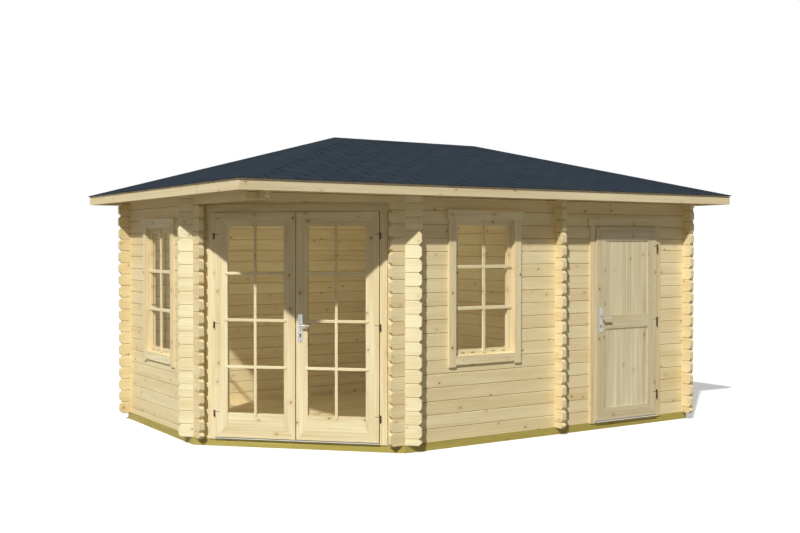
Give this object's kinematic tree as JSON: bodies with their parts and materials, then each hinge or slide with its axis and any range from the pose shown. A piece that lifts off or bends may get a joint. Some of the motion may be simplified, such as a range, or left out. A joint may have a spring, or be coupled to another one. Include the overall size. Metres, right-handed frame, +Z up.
{
  "type": "log cabin",
  "caption": "Five-cornered pine log cabin: notched log walls, hipped shingle roof, glazed double door across one corner, windows and a side store with its own door.",
  "frame": {"origin": "on the ground under the middle of the roof, at the underside of the base beams", "axes": "+X along the long front to the store at the right, +Y from the front to the back, +Z up"},
  "size_m": [5.238, 3.59, 2.7308],
  "materials": {
    "treated_beams": "rough sawn, pressure treated",
    "floor_boards": "planed boards",
    "log_pine": "planed, untreated",
    "roof_timber": "planed, untreated",
    "shingles": "mineral surfaced bitumen",
    "joinery_pine": "planed, untreated",
    "window_glass": "clear",
    "threshold_metal": "mill finish",
    "hinge_iron": "dark coated steel",
    "handle_metal": "satin"
  },
  "bodies": {
    "cabin": {"base_beams": "treated_beams", "floor_joists": "treated_beams", "main_floor": "floor_boards", "store_floor": "floor_boards", "left_wall": "log_pine", "back_wall": "log_pine", "right_wall": "log_pine", "partition_wall": "log_pine", "front_wall_left": "log_pine", "front_wall_right": "log_pine", "front_wall_top": "log_pine", "diagonal_wall_left": "log_pine", "diagonal_wall_right": "log_pine", "diagonal_wall_top": "log_pine", "ridge_beam": "roof_timber", "hip_rafters": "roof_timber", "roof_boards_front": "roof_timber", "roof_boards_back": "roof_timber", "roof_boards_left": "roof_timber", "roof_boards_right": "roof_timber", "fascia_boards": "roof_timber", "shingles_front": "shingles", "shingles_back": "shingles", "shingles_left": "shingles", "shingles_right": "shingles", "pair_frame": "joinery_pine", "store_frame": "joinery_pine", "front_window": "joinery_pine", "left_window": "joinery_pine", "front_window_glass": "window_glass", "left_window_glass": "window_glass", "pair_threshold": "threshold_metal", "store_threshold": "threshold_metal", "frame_hinges": "hinge_iron"},
    "left_door": {"left_leaf": "joinery_pine", "left_leaf_glass": "window_glass", "left_leaf_hinges": "hinge_iron"},
    "right_door": {"right_leaf": "joinery_pine", "right_leaf_glass": "window_glass", "right_leaf_hinges": "hinge_iron", "pair_lock_plates": "handle_metal"},
    "right_door_lever": {"pair_lever": "handle_metal"},
    "store_door": {"store_leaf": "joinery_pine", "store_panels": "joinery_pine", "store_leaf_hinges": "hinge_iron", "store_lock_plates": "handle_metal"},
    "store_door_lever": {"store_lever": "handle_metal"}
  },
  "joints": [
    {"name": "left_door_swing", "type": "hinge", "parent": "cabin", "child": "left_door", "pos_m": [-2.18967, -0.33946, 1.03], "axis": [0, 0, -1], "range_deg": [0, 90]},
    {"name": "right_door_swing", "type": "hinge", "parent": "cabin", "child": "right_door", "pos_m": [-1.16346, -1.36567, 1.03], "axis": [0, 0, 1], "range_deg": [0, 90]},
    {"name": "right_lever_turn", "type": "hinge", "parent": "right_door", "child": "right_door_lever", "pos_m": [-1.64899, -0.88368, 1.045], "axis": [0.7071, 0.7071, 0], "range_deg": [0, 40], "stiffness_Nm_per_rad": 1.5, "springref_deg": -34.38},
    {"name": "store_door_swing", "type": "hinge", "parent": "cabin", "child": "store_door", "pos_m": [1.8835, -1.52, 0.98], "axis": [0, 0, 1], "range_deg": [0, 110]},
    {"name": "store_lever_turn", "type": "hinge", "parent": "store_door", "child": "store_door_lever", "pos_m": [1.1465, -1.521, 1.045], "axis": [0, 1, 0], "range_deg": [0, 40], "stiffness_Nm_per_rad": 1.5, "springref_deg": -34.38}
  ]
}
